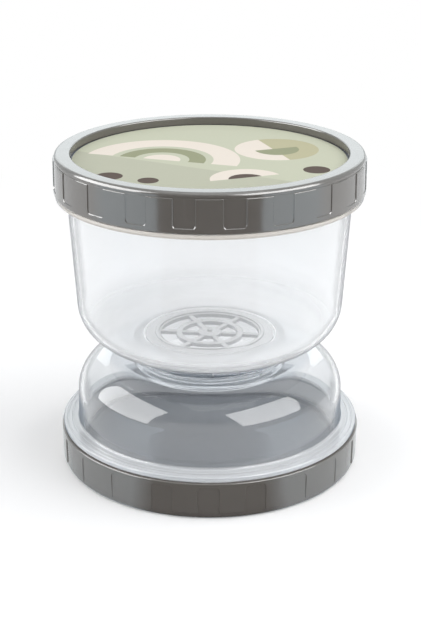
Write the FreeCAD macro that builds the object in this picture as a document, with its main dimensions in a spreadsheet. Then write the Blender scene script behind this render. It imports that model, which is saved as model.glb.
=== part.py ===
"""Flip keeper for pickles: two clear containers screwed together at a narrow waist, a strainer between
them, and a screw lid on each of the two mouths, so that turning the keeper over drains the brine.

Millimetres, +Z up. The origin is the centre of the base, on the face that the lower lid stands on.
"""

import FreeCAD
import Part
import os
import re
import Sketcher

SHEET = "Sizes"

# Driving dimensions: name, value, what it is.
SIZES = (
    ("lid_radius", 62.0, "outside of a lid at its open end"),
    ("lid_draft", 0.15, "how much narrower a lid is at its closed end"),
    ("lid_height", 15.2, "rim face to open end of a lid"),
    ("lid_wall", 1.7, "skirt of a lid"),
    ("band_inset", 0.65, "step from the lands in to the band round the closed end"),
    ("band_height", 2.2, "band round the closed end of a lid"),
    ("rim_thickness", 1.8, "flat rim of a lid ring"),
    ("rim_width", 6.35, "rim of a lid ring, from the band in to the opening where its disc shows"),
    ("rim_bevel", 0.5, "bevel on the rim's edges"),
    ("recess_depth", 3.5, "rim face down to the disc"),
    ("lip_wall", 1.6, "lip round the opening, which presses the disc down"),
    ("pad_count", 21, "grip pads round a lid"),
    ("pad_width", 8.8, "one grip pad"),
    ("pad_depth", 0.35, "how deep a grip pad is sunk"),
    ("pad_margin", 1.7, "plain strip between the pads and the open end"),
    ("pad_corner", 1.6, "rounded corners of a pad"),
    ("lower_lid_turn", -90.4, "where the lower lid's first pad stops, in degrees from +X"),
    ("upper_lid_turn", -98.6, "where the upper lid's first pad stops, in degrees from +X"),
    ("thread_space", 3.1, "from the skirt of a lid in to the wall of a mouth, for both threads"),
    ("lid_thread_height", 2.0, "how far a lid's thread stands in from its skirt"),
    ("disc_clearance", 0.5, "a sealing disc inside the lid's thread"),
    ("disc_thickness", 1.8, "plate of a sealing disc"),
    ("rib_clearance", 0.8, "centring rib of a disc inside the mouth"),
    ("rib_wall", 1.4, "centring rib of a disc"),
    ("rib_depth", 2.6, "how far the centring rib reaches below its plate"),
    ("seal_play", 0.1, "play of a disc under the lip of its ring"),
    ("gasket_thickness", 1.4, "lid gasket"),
    ("gasket_play", 0.1, "lid gasket round the rib"),
    ("gasket_margin", 0.4, "plate of a disc past its gasket"),
    ("label_thickness", 0.3, "printed film on the upper disc"),
    ("label_margin", 0.6, "printed film inside the opening of the ring"),
    ("mouth_wall", 2.0, "wall of a mouth, under the threads"),
    ("lip_bevel", 0.5, "bevel on a mouth's lip"),
    ("flange_inset", 0.7, "edge of a flange in from the outside of its lid"),
    ("flange_thickness", 2.1, "flange under a mouth"),
    ("flange_gap", 0.3, "open end of a lid to the flange"),
    ("flange_bevel", 0.4, "bevel on a flange's outer edges"),
    ("cup_wall", 1.9, "clear wall of both containers"),
    ("upper_wall_height", 61.1, "underside of the upper container to its flange"),
    ("upper_wall_inset", 0.37, "upper wall at its flange, in from the outside of the mouth"),
    ("upper_taper", 3.75, "how much narrower the upper wall gets from its flange to the underside"),
    ("upper_corner", 17.3, "outer rounding from the upper wall to the underside"),
    ("lower_wall_height", 28.6, "flange of the lower container to its top"),
    ("lower_wall_inset", 2.2, "lower wall at its flange, in from the outside of the mouth"),
    ("lower_taper", 0.6, "how much narrower the lower wall gets from its flange to the top"),
    ("lower_corner", 16.1, "outer rounding from the lower wall to the top"),
    ("corner_land", 1.0, "least flat left between a corner's rounding and the neck"),
    ("strainer_radius", 26.5, "strainer"),
    ("strainer_clearance", 0.3, "strainer in its seat"),
    ("strainer_thickness", 1.8, "plate of the strainer"),
    ("ledge_width", 1.6, "ledge that the strainer lies on"),
    ("ledge_thickness", 1.5, "the same ledge"),
    ("hub_radius", 4.9, "hub of the strainer"),
    ("pip_radius", 1.0, "pip in the middle of the hub"),
    ("pip_height", 1.2, "pip above the hub"),
    ("middle_ring_inner", 11.3, "ring between the two rows of slots"),
    ("middle_ring_outer", 13.8, "ring between the two rows of slots"),
    ("slot_outer", 20.2, "outer end of the outer slots"),
    ("bead_inner", 21.0, "raised bead on the strainer's rim"),
    ("bead_outer", 22.4, "raised bead on the strainer's rim"),
    ("bead_height", 0.7, "raised bead on the strainer's rim"),
    ("spoke_count", 6, "spokes"),
    ("spoke_width", 2.3, "spokes"),
    ("spoke_thickness", 1.5, "spokes"),
    ("strainer_turn", -6.3, "first spoke, in degrees from +X"),
    ("spigot_margin", 1.6, "seat of the strainer out to the outside of the spigot"),
    ("spigot_wall", 2.0, "spigot below the ledge"),
    ("spigot_engagement", 6.5, "how far the spigot screws into the collar"),
    ("shoulder_height", 2.9, "shoulder over the spigot, the keeper's waist"),
    ("neck_gasket_width", 1.8, "gasket between shoulder and collar, across its section"),
    ("neck_gasket_thickness", 1.5, "the same gasket"),
    ("neck_gasket_play", 0.2, "the same gasket round the spigot and inside the shoulder"),
    ("neck_thread_space", 1.2, "spigot to collar, for both threads"),
    ("collar_wall", 2.6, "collar above the top of the lower container"),
    ("collar_rise", 1.5, "collar above the top of the lower container"),
    ("socket_wall", 1.9, "collar's sleeve below the top"),
    ("socket_margin", 0.7, "sleeve past the end of the spigot"),
)

# Worked-out places and radii, as expressions in the names above.
LID_BORE = "(lid_radius - lid_wall)"
LAND_CLOSED = "(lid_radius - lid_draft)"
BAND = "(lid_radius - band_inset)"
RECESS = f"({BAND} - rim_width)"
PAD_END = "(lid_height - pad_margin)"
DISC_FACE = "(recess_depth + seal_play)"
DISC_INNER = f"({DISC_FACE} + disc_thickness)"
DISC_RADIUS = f"({LID_BORE} - lid_thread_height - disc_clearance)"
MOUTH_OUTER = f"({LID_BORE} - thread_space)"
MOUTH_INNER = f"({MOUTH_OUTER} - mouth_wall)"
RIB_OUTER = f"({MOUTH_INNER} - rib_clearance)"
LID_STACK = f"({DISC_INNER} + gasket_thickness)"
FINISH_HEIGHT = f"(lid_height + flange_gap - {LID_STACK})"
FLANGE_RADIUS = "(lid_radius - flange_inset)"
UPPER_TOP_RADIUS = f"({MOUTH_OUTER} - upper_wall_inset)"
UPPER_BASE_RADIUS = f"({UPPER_TOP_RADIUS} - upper_taper)"
LOWER_FLANGE_SIDE = f"({MOUTH_OUTER} - lower_wall_inset)"
LOWER_TOP_RADIUS = f"({LOWER_FLANGE_SIDE} - lower_taper)"

SEAT_RADIUS = "(strainer_radius + strainer_clearance)"
LEDGE_RADIUS = f"({SEAT_RADIUS} - ledge_width)"
LEDGE_TOP = "(cup_wall - strainer_thickness)"
SPIGOT_RADIUS = f"({SEAT_RADIUS} + spigot_margin)"
SPIGOT_BORE = f"({SPIGOT_RADIUS} - spigot_wall)"
SHOULDER_RADIUS = f"({SPIGOT_RADIUS} + neck_gasket_width + 2 * neck_gasket_play)"
SPIGOT_END = "(-shoulder_height - neck_gasket_thickness - spigot_engagement)"
SOCKET_BORE = f"({SPIGOT_RADIUS} + neck_thread_space)"
COLLAR_RADIUS = f"({SOCKET_BORE} + collar_wall)"
UPPER_CORNER = f"min(upper_corner; {UPPER_BASE_RADIUS} - {SHOULDER_RADIUS} - corner_land)"
LOWER_CORNER = f"min(lower_corner; {LOWER_TOP_RADIUS} - {COLLAR_RADIUS} - corner_land)"
SOCKET_DEPTH = "(spigot_engagement + socket_margin - collar_rise)"

LOWER_TOP = f"({FINISH_HEIGHT} + flange_thickness + lower_wall_height)"
COLLAR_TOP = f"({LID_STACK} + {LOWER_TOP} + collar_rise)"
UPPER_UNDERSIDE = f"({COLLAR_TOP} + neck_gasket_thickness + shoulder_height)"
UPPER_LIP = f"(upper_wall_height + flange_thickness + {FINISH_HEIGHT})"
TOTAL_HEIGHT = f"({UPPER_UNDERSIDE} + {UPPER_LIP} + {LID_STACK})"


def bound(expression):
    """The expression with every size's name pointed at its cell."""
    return re.sub(r"[a-z]+(?:_[a-z]+)+", SHEET + r".\g<0>", expression)


def make_sheet(doc):
    sheet = doc.addObject("Spreadsheet::Sheet", SHEET)
    for row, (name, value, note) in enumerate(SIZES, start=1):
        sheet.set(f"A{row}", note)
        sheet.set(f"B{row}", str(value))
        sheet.setAlias(f"B{row}", name)
    doc.recompute()


class Piece:
    """One body of the document, with the few operations that its makers need."""

    def __init__(self, doc, label):
        self.doc = doc
        self.body = doc.addObject("PartDesign::Body", label)
        self.body.Label = label

    def number(self, expression):
        return float(self.body.evalExpression(bound(expression)))

    def origin(self, role):
        return next(part for part in self.body.Origin.OriginFeatures if part.Role == role)

    def sketch(self, plane, *loops):
        """Closed loops of straight sides; each corner is a pair of expressions.

        In a constraint, geometry -1 is the sketch's own axes, and point 1 or 2 is a line's start or end.
        """
        sketch = self.body.newObject("Sketcher::SketchObject", "Outline")
        sketch.AttachmentSupport = (self.origin(plane), [""])
        sketch.MapMode = "FlatFace"
        for corners in loops:
            points = [FreeCAD.Vector(self.number(x), self.number(y), 0) for x, y in corners]
            first = sketch.GeometryCount
            count = len(corners)
            for start, end in zip(points, points[1:] + points[:1]):
                sketch.addGeometry(Part.LineSegment(start, end))
            for side in range(count):
                following = first + (side + 1) % count
                sketch.addConstraint(Sketcher.Constraint("Coincident", first + side, 2, following, 1))
            for side, (point, corner) in enumerate(zip(points, corners)):
                for kind, value, expression in zip(("DistanceX", "DistanceY"), point, corner):
                    pin = Sketcher.Constraint(kind, -1, 1, first + side, 1, value)
                    index = sketch.addConstraint(pin)
                    sketch.setExpression(f"Constraints[{index}]", bound(expression))
        return sketch

    def revolve(self, *loops):
        """Turns an outline of radius and height pairs about the body's Z axis."""
        sketch = self.sketch("XZ_Plane", *loops)
        turned = self.body.newObject("PartDesign::Revolution", "Turned")
        turned.Profile = sketch
        turned.ReferenceAxis = (sketch, ["V_Axis"])
        turned.Angle = 360
        self.doc.recompute()

    def groove(self, angle, corners):
        """Cuts an outline of radius and height pairs, turned a part of the way about the Z axis."""
        before = self.body.Shape.Volume
        sketch = self.sketch("XZ_Plane", corners)
        cut = self.body.newObject("PartDesign::Groove", "Cut")
        cut.Profile = sketch
        cut.ReferenceAxis = (sketch, ["V_Axis"])
        cut.Midplane = True
        cut.setExpression("Angle", bound(angle))
        self.doc.recompute()
        if not self.body.Shape.Volume < before:
            raise ValueError(f"{self.body.Label}: the groove cuts nothing")
        return cut

    def pad(self, length, corners):
        """Raises an outline of X and Y pairs from the XY plane."""
        pad = self.body.newObject("PartDesign::Pad", "Raised")
        pad.Profile = self.sketch("XY_Plane", corners)
        pad.setExpression("Length", bound(length))
        self.doc.recompute()
        return pad

    def repeat(self, feature, count):
        """Repeats a feature round the Z axis."""
        pattern = self.body.newObject("PartDesign::PolarPattern", "Round")
        pattern.Originals = [feature]
        pattern.Axis = (self.origin("Z_Axis"), [""])
        pattern.Angle = 360
        pattern.setExpression("Occurrences", bound(count))
        self.body.Tip = pattern
        self.doc.recompute()

    def dress(self, kind, setting, size, wanted):
        """Dresses the edges of the body so far that wanted() picks."""
        base = self.body.Tip
        names = [f"Edge{index}" for index, edge in enumerate(base.Shape.Edges, start=1) if wanted(edge)]
        if not names:
            raise ValueError(f"{self.body.Label}: no edge for the {kind} of {size}")
        dressed = self.body.newObject(f"PartDesign::{kind}", kind)
        dressed.Base = (base, names)
        dressed.setExpression(setting, bound(size))
        self.doc.recompute()

    def fillet(self, radius, wanted):
        self.dress("Fillet", "Radius", radius, wanted)

    def chamfer(self, size, wanted):
        self.dress("Chamfer", "Size", size, wanted)

    def circle(self, *places):
        """Picks the full circles at the given pairs of radius and height."""
        wanted = [(self.number(radius), self.number(height)) for radius, height in places]

        def matches(edge):
            if not isinstance(edge.Curve, Part.Circle):
                return False
            found = (edge.Curve.Radius, edge.Curve.Center.z)
            return any(max(abs(found[0] - r), abs(found[1] - z)) < 1e-4 for r, z in wanted)

        return matches

    def place(self, height, rotation=FreeCAD.Rotation()):
        self.body.Placement = FreeCAD.Placement(FreeCAD.Vector(0, 0, self.number(height)), rotation)
        self.body.setExpression("Placement.Base.z", bound(height))


def lid_side(piece, upper, turn):
    """Stands a lid's piece on the base, or turned over on the top, with its first pad at turn."""
    spin = FreeCAD.Rotation(FreeCAD.Vector(0, 0, 1), piece.number(turn))
    flip = FreeCAD.Rotation(FreeCAD.Vector(1, 0, 0), 180 if upper else 0)
    piece.place(TOTAL_HEIGHT if upper else "0 * lid_height", spin * flip)


def lid_ring(doc, label, upper, turn):
    """Screw ring of a lid: rim, skirt and inner lip, with grip pads sunk in the skirt."""
    ring = Piece(doc, label)
    lip_outer = f"({RECESS} + lip_wall)"
    ring.revolve([
        (RECESS, "0"),
        (BAND, "0"),
        (BAND, "band_height"),
        (LAND_CLOSED, "band_height"),
        ("lid_radius", "lid_height"),
        (LID_BORE, "lid_height"),
        (LID_BORE, "rim_thickness"),
        (lip_outer, "rim_thickness"),
        (lip_outer, "recess_depth"),
        (RECESS, "recess_depth"),
    ])
    ring.chamfer("rim_bevel", ring.circle((RECESS, "0"), (BAND, "0")))
    cut = ring.groove("2 * asin(pad_width / (2 * lid_radius))", [
        (f"{LAND_CLOSED} - pad_depth", "0.5 * band_height"),
        ("lid_radius - pad_depth", PAD_END),
        ("lid_radius + pad_depth", PAD_END),
        ("lid_radius + pad_depth", "0.5 * band_height"),
    ])
    ring.repeat(cut, "pad_count")
    pad_end = ring.number(PAD_END)
    pad_depth = ring.number("pad_depth")

    def pad_corner(edge):
        if len(edge.Vertexes) != 2 or not isinstance(edge.Curve, Part.Line):
            return False
        level = all(abs(vertex.Z - pad_end) < 1e-4 for vertex in edge.Vertexes)
        return level and edge.Length < 2 * pad_depth

    ring.fillet("pad_corner", pad_corner)
    lid_side(ring, upper, turn)
    return ring.body


def lid_disc(doc, label, upper, turn):
    """Sealing disc under the ring's lip, with a rib that centres it in the mouth."""
    disc = Piece(doc, label)
    rib_inner = f"({RIB_OUTER} - rib_wall)"
    rib_end = f"({DISC_INNER} + rib_depth)"
    disc.revolve([
        ("0", DISC_FACE),
        (DISC_RADIUS, DISC_FACE),
        (DISC_RADIUS, DISC_INNER),
        (RIB_OUTER, DISC_INNER),
        (RIB_OUTER, rib_end),
        (rib_inner, rib_end),
        (rib_inner, DISC_INNER),
        ("0", DISC_INNER),
    ])
    lid_side(disc, upper, turn)
    return disc.body


def lid_gasket(doc, label, upper, turn):
    """Flat silicone ring round the disc's rib, pressed on by the lip of the mouth."""
    gasket = Piece(doc, label)
    inner = f"({RIB_OUTER} + gasket_play)"
    outer = f"({DISC_RADIUS} - gasket_margin)"
    gasket.revolve([
        (inner, DISC_INNER),
        (outer, DISC_INNER),
        (outer, LID_STACK),
        (inner, LID_STACK),
    ])
    lid_side(gasket, upper, turn)
    return gasket.body


def lid_label(doc, label, upper, turn):
    """Printed film on the outer face of the upper disc."""
    film = Piece(doc, label)
    film_face = f"({DISC_FACE} - label_thickness)"
    label_radius = f"({RECESS} - label_margin)"
    film.revolve([
        ("0", film_face),
        (label_radius, film_face),
        (label_radius, DISC_FACE),
        ("0", DISC_FACE),
    ])
    lid_side(film, upper, turn)
    return film.body


def upper_container(doc, label):
    """Deep container: tapered wall, flanged mouth, seat for the strainer and a spigot below it.

    Its own zero is the underside of its floor.
    """
    cup = Piece(doc, label)
    flange_top = "(upper_wall_height + flange_thickness)"
    ledge_bottom = f"({LEDGE_TOP} - ledge_thickness)"
    inner_base = f"({UPPER_BASE_RADIUS} - cup_wall)"
    cup.revolve([
        (SPIGOT_RADIUS, SPIGOT_END),
        (SPIGOT_RADIUS, "-shoulder_height"),
        (SHOULDER_RADIUS, "-shoulder_height"),
        (SHOULDER_RADIUS, "0"),
        (UPPER_BASE_RADIUS, "0"),
        (UPPER_TOP_RADIUS, "upper_wall_height"),
        (FLANGE_RADIUS, "upper_wall_height"),
        (FLANGE_RADIUS, flange_top),
        (MOUTH_OUTER, flange_top),
        (MOUTH_OUTER, UPPER_LIP),
        (MOUTH_INNER, UPPER_LIP),
        (f"{UPPER_TOP_RADIUS} - cup_wall", "upper_wall_height"),
        (inner_base, "cup_wall"),
        (SEAT_RADIUS, "cup_wall"),
        (SEAT_RADIUS, LEDGE_TOP),
        (LEDGE_RADIUS, LEDGE_TOP),
        (LEDGE_RADIUS, ledge_bottom),
        (SPIGOT_BORE, ledge_bottom),
        (SPIGOT_BORE, SPIGOT_END),
    ])
    cup.fillet(UPPER_CORNER, cup.circle((UPPER_BASE_RADIUS, "0")))
    cup.fillet(f"{UPPER_CORNER} - cup_wall", cup.circle((inner_base, "cup_wall")))
    cup.chamfer("flange_bevel", cup.circle((FLANGE_RADIUS, "upper_wall_height"), (FLANGE_RADIUS, flange_top)))
    cup.chamfer("lip_bevel", cup.circle((MOUTH_OUTER, UPPER_LIP), (MOUTH_INNER, UPPER_LIP)))
    cup.place(UPPER_UNDERSIDE)
    return cup.body


def lower_container(doc, label):
    """Shallow container, mouth down, with a collar in its top that takes the spigot.

    Its own zero is the lip of its mouth.
    """
    cup = Piece(doc, label)
    flange_top = f"({FINISH_HEIGHT} + flange_thickness)"
    roof_inner = f"({LOWER_TOP} - cup_wall)"
    socket_end = f"({LOWER_TOP} - {SOCKET_DEPTH})"
    socket_outer = f"({SOCKET_BORE} + socket_wall)"
    collar_top = f"({LOWER_TOP} + collar_rise)"
    inner_top = f"({LOWER_TOP_RADIUS} - cup_wall)"
    cup.revolve([
        (MOUTH_INNER, "0"),
        (MOUTH_OUTER, "0"),
        (MOUTH_OUTER, FINISH_HEIGHT),
        (FLANGE_RADIUS, FINISH_HEIGHT),
        (FLANGE_RADIUS, flange_top),
        (LOWER_FLANGE_SIDE, flange_top),
        (LOWER_TOP_RADIUS, LOWER_TOP),
        (COLLAR_RADIUS, LOWER_TOP),
        (COLLAR_RADIUS, collar_top),
        (SOCKET_BORE, collar_top),
        (SOCKET_BORE, socket_end),
        (socket_outer, socket_end),
        (socket_outer, roof_inner),
        (inner_top, roof_inner),
        (f"{LOWER_FLANGE_SIDE} - cup_wall", flange_top),
        (MOUTH_INNER, FINISH_HEIGHT),
    ])
    cup.fillet(LOWER_CORNER, cup.circle((LOWER_TOP_RADIUS, LOWER_TOP)))
    cup.fillet(f"{LOWER_CORNER} - cup_wall", cup.circle((inner_top, roof_inner)))
    cup.chamfer("flange_bevel", cup.circle((FLANGE_RADIUS, FINISH_HEIGHT), (FLANGE_RADIUS, flange_top)))
    cup.chamfer("lip_bevel", cup.circle((MOUTH_OUTER, "0"), (MOUTH_INNER, "0")))
    cup.place(LID_STACK)
    return cup.body


def neck_gasket(doc, label):
    """Flat silicone ring round the spigot, between the collar and the shoulder."""
    gasket = Piece(doc, label)
    inner = f"({SPIGOT_RADIUS} + neck_gasket_play)"
    outer = f"({inner} + neck_gasket_width)"
    gasket.revolve([
        (inner, "0"),
        (outer, "0"),
        (outer, "neck_gasket_thickness"),
        (inner, "neck_gasket_thickness"),
    ])
    gasket.place(COLLAR_TOP)
    return gasket.body


def strainer(doc, label):
    """Slotted wheel that lies in the floor of the upper container: hub, spokes and two rings."""
    wheel = Piece(doc, label)
    plate_top = "strainer_thickness"
    bead_top = "(strainer_thickness + bead_height)"
    pip_top = "(strainer_thickness + pip_height)"
    half_spoke = "0.5 * spoke_width"
    wheel.revolve([
        ("0", "0"),
        ("hub_radius", "0"),
        ("hub_radius", plate_top),
        ("pip_radius", plate_top),
        ("pip_radius", pip_top),
        ("0", pip_top),
    ])
    spoke = wheel.pad("spoke_thickness", [
        ("0.5 * hub_radius", f"-{half_spoke}"),
        ("bead_inner", f"-{half_spoke}"),
        ("bead_inner", half_spoke),
        ("0.5 * hub_radius", half_spoke),
    ])
    wheel.repeat(spoke, "spoke_count")
    wheel.revolve(
        [
            ("middle_ring_inner", "0"),
            ("middle_ring_outer", "0"),
            ("middle_ring_outer", plate_top),
            ("middle_ring_inner", plate_top),
        ],
        [
            ("slot_outer", "0"),
            ("strainer_radius", "0"),
            ("strainer_radius", plate_top),
            ("bead_outer", plate_top),
            ("bead_outer", bead_top),
            ("bead_inner", bead_top),
            ("bead_inner", plate_top),
            ("slot_outer", plate_top),
        ],
    )
    turn = FreeCAD.Rotation(FreeCAD.Vector(0, 0, 1), wheel.number("strainer_turn"))
    wheel.place(f"{UPPER_UNDERSIDE} + {LEDGE_TOP}", turn)
    return wheel.body


def check(doc, bodies):
    """Stops the build if a feature failed or a piece isn't one valid solid."""
    failed = [item.Name for item in doc.Objects if {"Invalid", "Error"} & set(item.State)]
    if failed:
        raise ValueError(f"failed: {failed}")
    for body in bodies:
        if body.Shape.isNull() or not body.Shape.isValid() or len(body.Shape.Solids) != 1:
            raise ValueError(f"{body.Label} isn't one valid solid")


def main():
    doc = FreeCAD.newDocument("FlipKeeper")
    make_sheet(doc)
    bodies = [
        lid_ring(doc, "lower_lid_ring", False, "lower_lid_turn"),
        lid_disc(doc, "lower_lid_disc", False, "lower_lid_turn"),
        lid_gasket(doc, "lower_lid_gasket", False, "lower_lid_turn"),
        lower_container(doc, "lower_container"),
        neck_gasket(doc, "neck_gasket"),
        upper_container(doc, "upper_container"),
        strainer(doc, "strainer"),
        lid_gasket(doc, "upper_lid_gasket", True, "upper_lid_turn"),
        lid_disc(doc, "upper_lid_disc", True, "upper_lid_turn"),
        lid_label(doc, "upper_lid_label", True, "upper_lid_turn"),
        lid_ring(doc, "upper_lid_ring", True, "upper_lid_turn"),
    ]
    doc.recompute()
    check(doc, bodies)
    os.makedirs("parts", exist_ok=True)
    for body in bodies:
        body.Shape.exportStep(f"parts/{body.Label}.step")
        box = body.Shape.BoundBox
        print(f"{body.Label}: {body.Shape.Volume / 1000:.2f} cm3, z {box.ZMin:.2f} to {box.ZMax:.2f}")


main()
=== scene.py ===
import math

import bpy
from bpy.props import FloatProperty, FloatVectorProperty, IntProperty, PointerProperty
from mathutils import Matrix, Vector


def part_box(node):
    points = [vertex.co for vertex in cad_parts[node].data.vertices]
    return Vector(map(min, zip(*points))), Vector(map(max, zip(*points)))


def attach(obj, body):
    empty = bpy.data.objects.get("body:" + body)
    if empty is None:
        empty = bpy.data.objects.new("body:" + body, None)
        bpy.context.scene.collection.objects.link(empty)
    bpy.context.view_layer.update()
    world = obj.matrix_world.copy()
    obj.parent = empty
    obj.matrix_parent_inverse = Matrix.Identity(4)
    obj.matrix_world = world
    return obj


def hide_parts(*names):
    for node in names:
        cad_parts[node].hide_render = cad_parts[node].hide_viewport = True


bl_info = {
    "name": "Flip keeper",
    "version": (1, 0, 0),
    "blender": (4, 5, 0),
    "location": "3D View > Sidebar > Keeper",
    "description": "Clear flip keeper with a strainer in its waist and a screw lid on each mouth",
    "category": "Object",
}

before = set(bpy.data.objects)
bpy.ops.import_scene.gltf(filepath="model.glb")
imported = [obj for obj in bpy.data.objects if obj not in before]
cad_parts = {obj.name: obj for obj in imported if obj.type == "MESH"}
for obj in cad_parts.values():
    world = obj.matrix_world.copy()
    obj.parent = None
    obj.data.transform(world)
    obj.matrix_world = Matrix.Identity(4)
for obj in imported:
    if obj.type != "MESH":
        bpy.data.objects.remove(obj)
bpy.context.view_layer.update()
MM = 0.001
FULL_TURN = 2 * math.pi
WELD = 1e-6  # Points closer than this many metres are one.
SHARP = math.radians(32)  # Edges that bend more than this stay sharp.
ROOT = 0.5 * MM  # How deep a thread starts inside its wall.
POLYPROPYLENE_IOR = 1.49

RING_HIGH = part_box("lower_lid_ring")[1]
LOWER_LOW, LOWER_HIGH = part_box("lower_container")
UPPER_LOW, UPPER_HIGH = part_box("upper_container")
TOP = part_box("upper_lid_ring")[1].z


def linear(code):
    """Turns an sRGB colour such as "#66625f" to linear red, green and blue."""
    shares = [int(code[place:place + 2], 16) / 255 for place in (1, 3, 5)]
    return tuple(share / 12.92 if share <= 0.04045 else ((share + 0.055) / 1.055) ** 2.4 for share in shares)


def length(name, description, millimetres):
    return FloatProperty(
        name=name, description=description, default=millimetres * MM, min=0.0, unit="LENGTH", precision=5)


def angle(name, description, degrees):
    return FloatProperty(name=name, description=description, default=math.radians(degrees), subtype="ANGLE")


def colour(name, description, code):
    return FloatVectorProperty(
        name=name, description=description, default=linear(code), size=3, min=0.0, max=1.0, subtype="COLOR")


class KeeperLid(bpy.types.PropertyGroup):
    """Both screw rings"""

    radius: length("Radius", "Outside of a lid at its open end", RING_HIGH.x / MM)
    depth: length("Height", "Rim face to open end", RING_HIGH.z / MM)
    draft: length("Draft", "How much narrower a lid is at its closed end", 0.15)
    band_inset: length("Band inset", "Step from the lands in to the band round the closed end", 0.65)
    band_height: length("Band height", "Band round the closed end", 2.2)
    opening: length("Opening radius", "Opening where the sealing disc shows", 55.0)
    rim: length("Rim thickness", "Flat rim round the opening", 1.8)
    lip_wall: length("Lip wall", "Lip round the opening that presses the disc down", 1.6)
    recess: length("Recess depth", "Rim face down to the disc", 3.5)
    bore: length("Bore radius", "Inside of the skirt", 60.3)
    pad_count: IntProperty(name="Pads", description="Grip pads round a lid", default=21, min=1)
    pad_width: length("Pad width", "One grip pad", 8.8)
    pad_depth: length("Pad depth", "How deep a grip pad is sunk", 0.35)
    pad_margin: length("Pad margin", "Plain strip between the pads and the open end", 1.7)
    pad_corner: length("Pad corner", "Rounded corners of a pad", 1.6)
    pad_slope: length("Pad slope", "How far the sides of a pad slope", 0.3)
    lower_turn: angle("Lower lid stop", "Where the lower lid's first pad stops", -90.4)
    upper_turn: angle("Upper lid stop", "Where the upper lid's first pad stops", -98.6)


class KeeperSeal(bpy.types.PropertyGroup):
    """Discs, gaskets and film"""

    disc_face: length("Disc face", "Rim face down to the outside of a sealing disc", 3.6)
    disc: length("Disc thickness", "Plate of a sealing disc", 1.8)
    disc_radius: length("Disc radius", "Plate of a sealing disc", 57.8)
    rib_radius: length("Rib radius", "Outside of the centring rib", 54.4)
    rib_wall: length("Rib wall", "Centring rib", 1.4)
    rib_depth: length("Rib depth", "How far the rib reaches past its plate", 2.6)
    gasket_inner: length("Gasket inner radius", "Lid gasket", 54.5)
    gasket_outer: length("Gasket outer radius", "Lid gasket", 57.4)
    gasket: length("Gasket thickness", "Lid gasket", 1.4)
    neck_inner: length("Neck gasket inner radius", "Gasket between the two containers", 28.6)
    neck_outer: length("Neck gasket outer radius", "Gasket between the two containers", 30.4)
    neck: length("Neck gasket thickness", "Gasket between the two containers", 1.5)
    film_radius: length("Film radius", "Printed film on the upper disc", 54.4)
    film: length("Film thickness", "Printed film on the upper disc", 0.3)


class KeeperMouth(bpy.types.PropertyGroup):
    """Both clear containers"""

    outer: length("Mouth radius", "Outside of a mouth, under its threads", 57.2)
    inner: length("Mouth bore", "Inside of a mouth", 55.2)
    finish: length("Finish height", "Lip to flange", 8.7)
    flange_radius: length("Flange radius", "Flange under a mouth", 61.3)
    flange: length("Flange thickness", "Flange under a mouth", 2.1)
    wall: length("Wall", "Clear wall of both containers", 1.9)
    lower_side: length("Lower wall at flange", "Outside of the lower wall at its flange", 55.0)
    lower_top: length("Lower wall at top", "Outside of the lower wall at its top", 54.4)
    lower_corner: length("Lower corner", "Outer rounding of the lower container", 16.1)
    lower_roof: length("Roof height", "Flange to the top of the lower container", 28.6)
    upper_side: length("Upper wall at flange", "Outside of the upper wall at its flange", 56.83)
    upper_base: length("Upper wall at base", "Outside of the upper wall at its underside", 53.08)
    upper_corner: length("Upper corner", "Outer rounding of the upper container", 17.3)
    upper_depth: length("Upper wall height", "Underside of the upper container to its flange", 61.1)
    seat: length("Seat radius", "Seat of the strainer", 26.8)
    seat_drop: length("Seat depth", "Floor down to the ledge", 1.8)
    ledge: length("Ledge radius", "Inside of the ledge under the strainer", 25.2)
    ledge_thickness: length("Ledge thickness", "Ledge under the strainer", 1.5)
    spigot: length("Spigot radius", "Outside of the spigot, under its threads", 28.4)
    spigot_bore: length("Spigot bore", "Inside of the spigot", 26.4)
    shoulder: length("Shoulder radius", "Shoulder over the spigot", 30.6)
    shoulder_height: length("Shoulder height", "Shoulder over the spigot", 2.9)
    socket: length("Socket bore", "Collar and sleeve that take the spigot", 29.6)
    collar: length("Collar radius", "Collar above the roof", 32.2)
    sleeve: length("Sleeve radius", "Outside of the sleeve below the roof", 31.5)
    socket_depth: length("Sleeve depth", "Roof down to the end of the sleeve", 5.7)


class KeeperThread(bpy.types.PropertyGroup):
    """Threads of lids, mouths and neck"""

    starts: IntProperty(name="Lid starts", description="Threads side by side on a lid", default=4, min=1)
    lead: length("Lid lead", "How far a full turn lifts a lid", 15.997)
    span: angle("Mouth thread span", "How far round each thread of a mouth runs", 100.0)
    lid_span: angle("Lid thread span", "How far round each thread of a lid runs", 82.0)
    lid_shift: angle("Lid thread shift", "How far a lid's threads start before the mouth's", 20.0)
    crest: length("Mouth thread crest", "Outside of a mouth's threads", 58.9)
    lid_crest: length("Lid thread crest", "Inside of a lid's threads", 58.3)
    base: length("Thread base", "A thread where it leaves its wall", 2.1)
    tip: length("Thread tip", "A thread at its crest", 0.9)
    lip_gap: length("Lip to thread", "Lip of a mouth to the middle of a thread's start", 2.0)
    neck_gap: length("Spigot end to thread", "End of the spigot to the middle of a thread's start", 1.4)
    neck_starts: IntProperty(name="Neck starts", description="Threads side by side in the neck", default=3, min=1)
    neck_lead: length("Neck lead", "How far a full turn parts the containers", 11.998)
    neck_span: angle("Neck thread span", "How far round each neck thread runs", 84.0)
    socket_shift: angle("Socket thread shift", "How far the socket's threads start before the spigot's", 50.0)
    neck_crest: length("Spigot thread crest", "Outside of the spigot's threads", 29.3)
    socket_crest: length("Socket thread crest", "Inside of the socket's threads", 28.8)
    neck_base: length("Neck thread base", "A neck thread where it leaves its wall", 1.9)
    neck_tip: length("Neck thread tip", "A neck thread at its crest", 0.9)


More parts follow.
